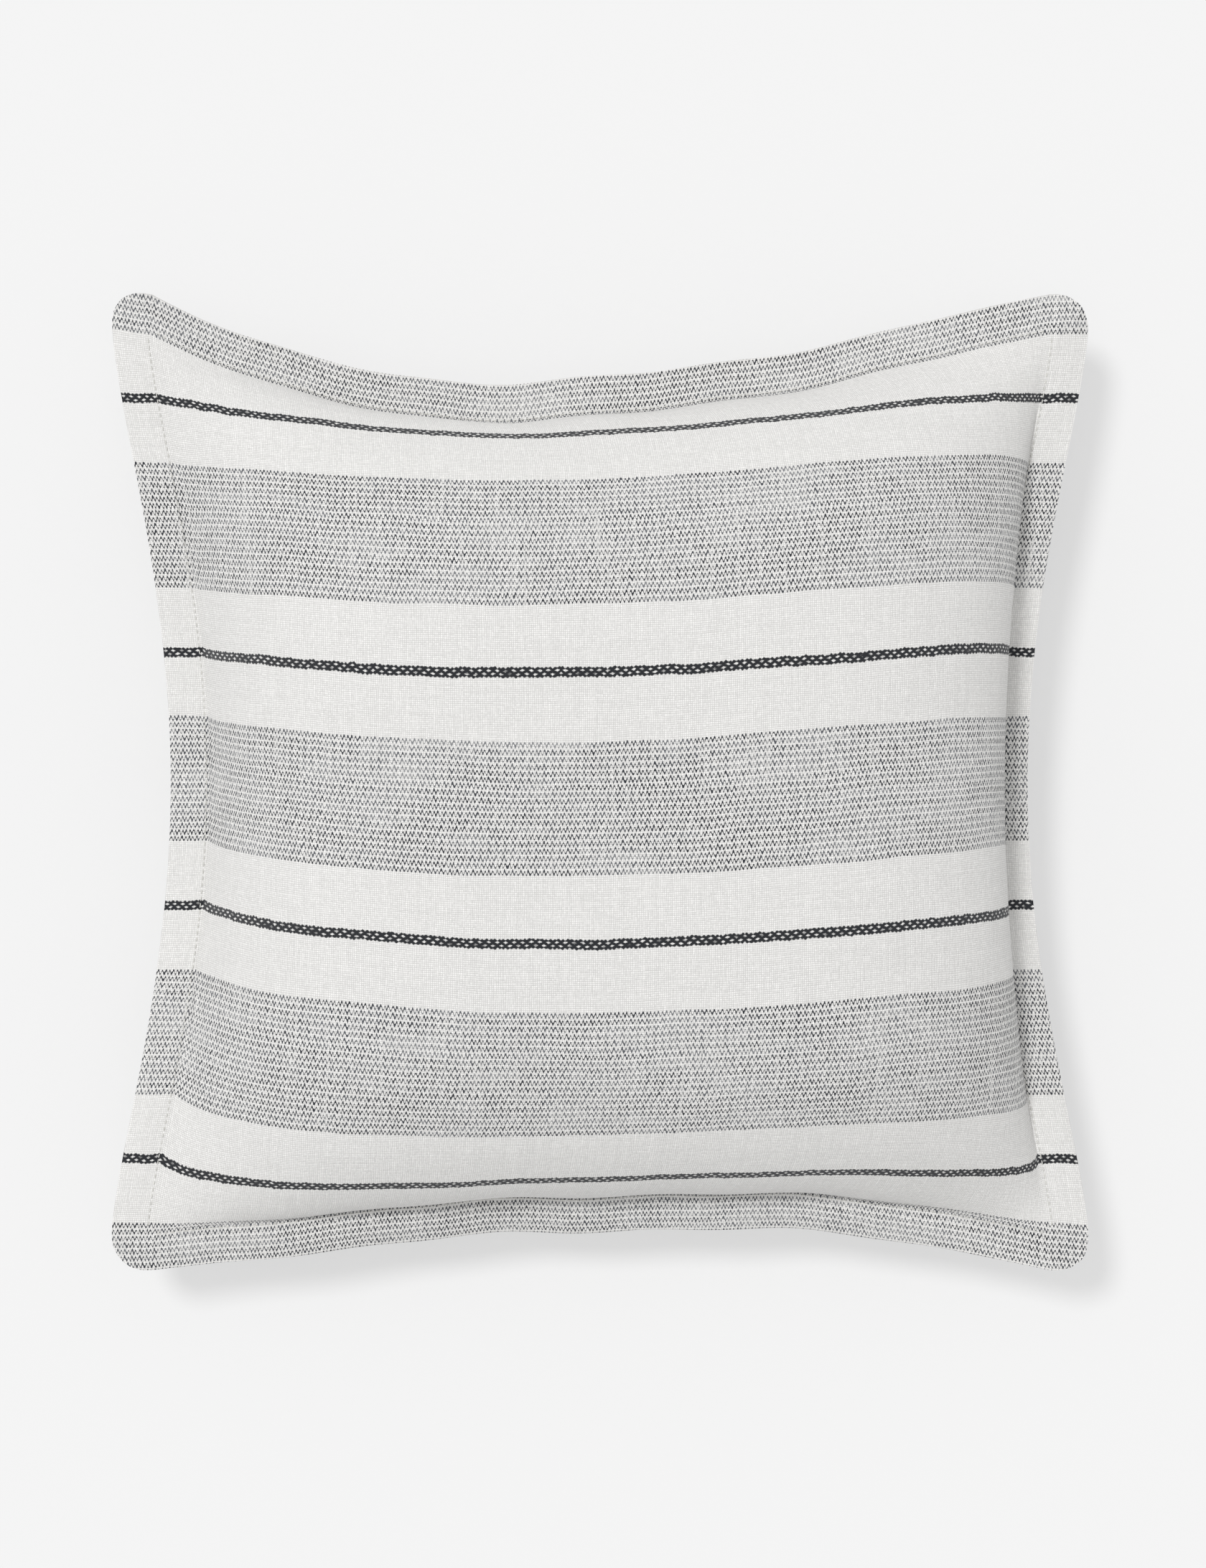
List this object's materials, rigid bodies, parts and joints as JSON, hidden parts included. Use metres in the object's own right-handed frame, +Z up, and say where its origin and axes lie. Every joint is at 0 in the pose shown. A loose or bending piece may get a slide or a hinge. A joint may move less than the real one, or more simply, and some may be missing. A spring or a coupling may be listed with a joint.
{
  "type": "throw pillow",
  "caption": "Square throw pillow lying on its back: flanged striped woven cover with a lapped back zip, over a filled insert.",
  "frame": {"origin": "on the floor under the centre of the cover, at the middle of the bottom of the bounding box", "axes": "+Z up out of the pillow's front, +Y towards the top edge of the front, +X to the right of the front; the zip runs along X across the back"},
  "size_m": [0.5, 0.5, 0.15],
  "materials": {
    "striped_cloth": "coarse plain weave, off-white with wide heathered grey and thin charcoal stripes",
    "stitch_thread": "spun polyester sewing thread, matt",
    "case_cloth": "thin off-white nonwoven or cambric, matt",
    "fibre_fill": "loose white fibre",
    "zip_tape": "knitted grey tape, matt",
    "zip_teeth": "moulded grey plastic, satin",
    "zip_metal": "grey enamelled metal, satin",
    "label_ribbon": "blank satin ribbon"
  },
  "bodies": {
    "pillow": {"front_panel": "striped_cloth", "back_panel_upper": "striped_cloth", "back_panel_lower": "striped_cloth", "flange_stitch_top": "stitch_thread", "flange_stitch_bottom": "stitch_thread", "flange_stitch_left": "stitch_thread", "flange_stitch_right": "stitch_thread", "insert_seam_stitch": "stitch_thread", "zip_stitch_upper": "stitch_thread", "zip_stitch_lower": "stitch_thread", "bar_tack_left": "stitch_thread", "bar_tack_right": "stitch_thread", "insert_case_front": "case_cloth", "insert_case_back": "case_cloth", "fill_core": "fibre_fill", "zip_tape_upper": "zip_tape", "zip_tape_lower": "zip_tape", "zip_teeth_upper": "zip_teeth", "zip_teeth_lower": "zip_teeth", "zip_top_stop_upper": "zip_metal", "zip_top_stop_lower": "zip_metal", "zip_bottom_stop": "zip_metal", "care_label": "label_ribbon"},
    "zip_slider": {"zip_slider_body": "zip_metal"},
    "pull_tab": {"zip_pull_tab": "zip_metal"}
  },
  "joints": [
    {"name": "zip_slide", "type": "slide", "parent": "pillow", "child": "zip_slider", "axis": [-1, 0, 0], "range_m": [0, 0.291], "deforming": ["zip_teeth_upper", "zip_teeth_lower"]},
    {"name": "pull_tab_pivot", "type": "hinge", "parent": "zip_slider", "child": "pull_tab", "pos_m": [0.146, -0.08, 0.0039], "axis": [0, 1, 0], "range_deg": [0, 11]}
  ]
}
